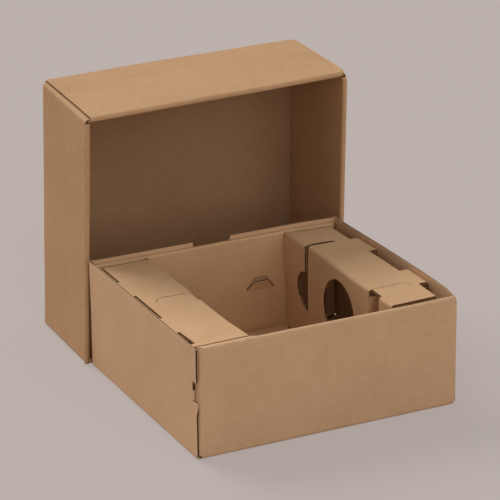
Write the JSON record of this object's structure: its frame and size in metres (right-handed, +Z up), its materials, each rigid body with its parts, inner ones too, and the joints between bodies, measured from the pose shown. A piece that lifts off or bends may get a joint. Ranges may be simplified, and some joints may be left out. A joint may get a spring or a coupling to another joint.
{
  "type": "bottle shipping box",
  "caption": "Flat corrugated shipping box with a folded cradle that holds bottles lying on their sides, and a deep telescoping lid standing behind it.",
  "frame": {"origin": "centre of the base tray's underside, on the ground", "axes": "+X along the tray and the bottle positions, from the left end wall to the right one; +Y from the tray's front wall back to the standing lid; +Z up"},
  "size_m": [0.3468, 0.4485, 0.3158],
  "materials": {
    "tray_board": "matt brown kraft liner",
    "cradle_board": "matt brown kraft liner",
    "lid_board": "matt brown kraft liner"
  },
  "bodies": {
    "root": {"base_tray": "tray_board", "inner_cradle": "cradle_board", "lid": "lid_board"}
  },
  "joints": []
}
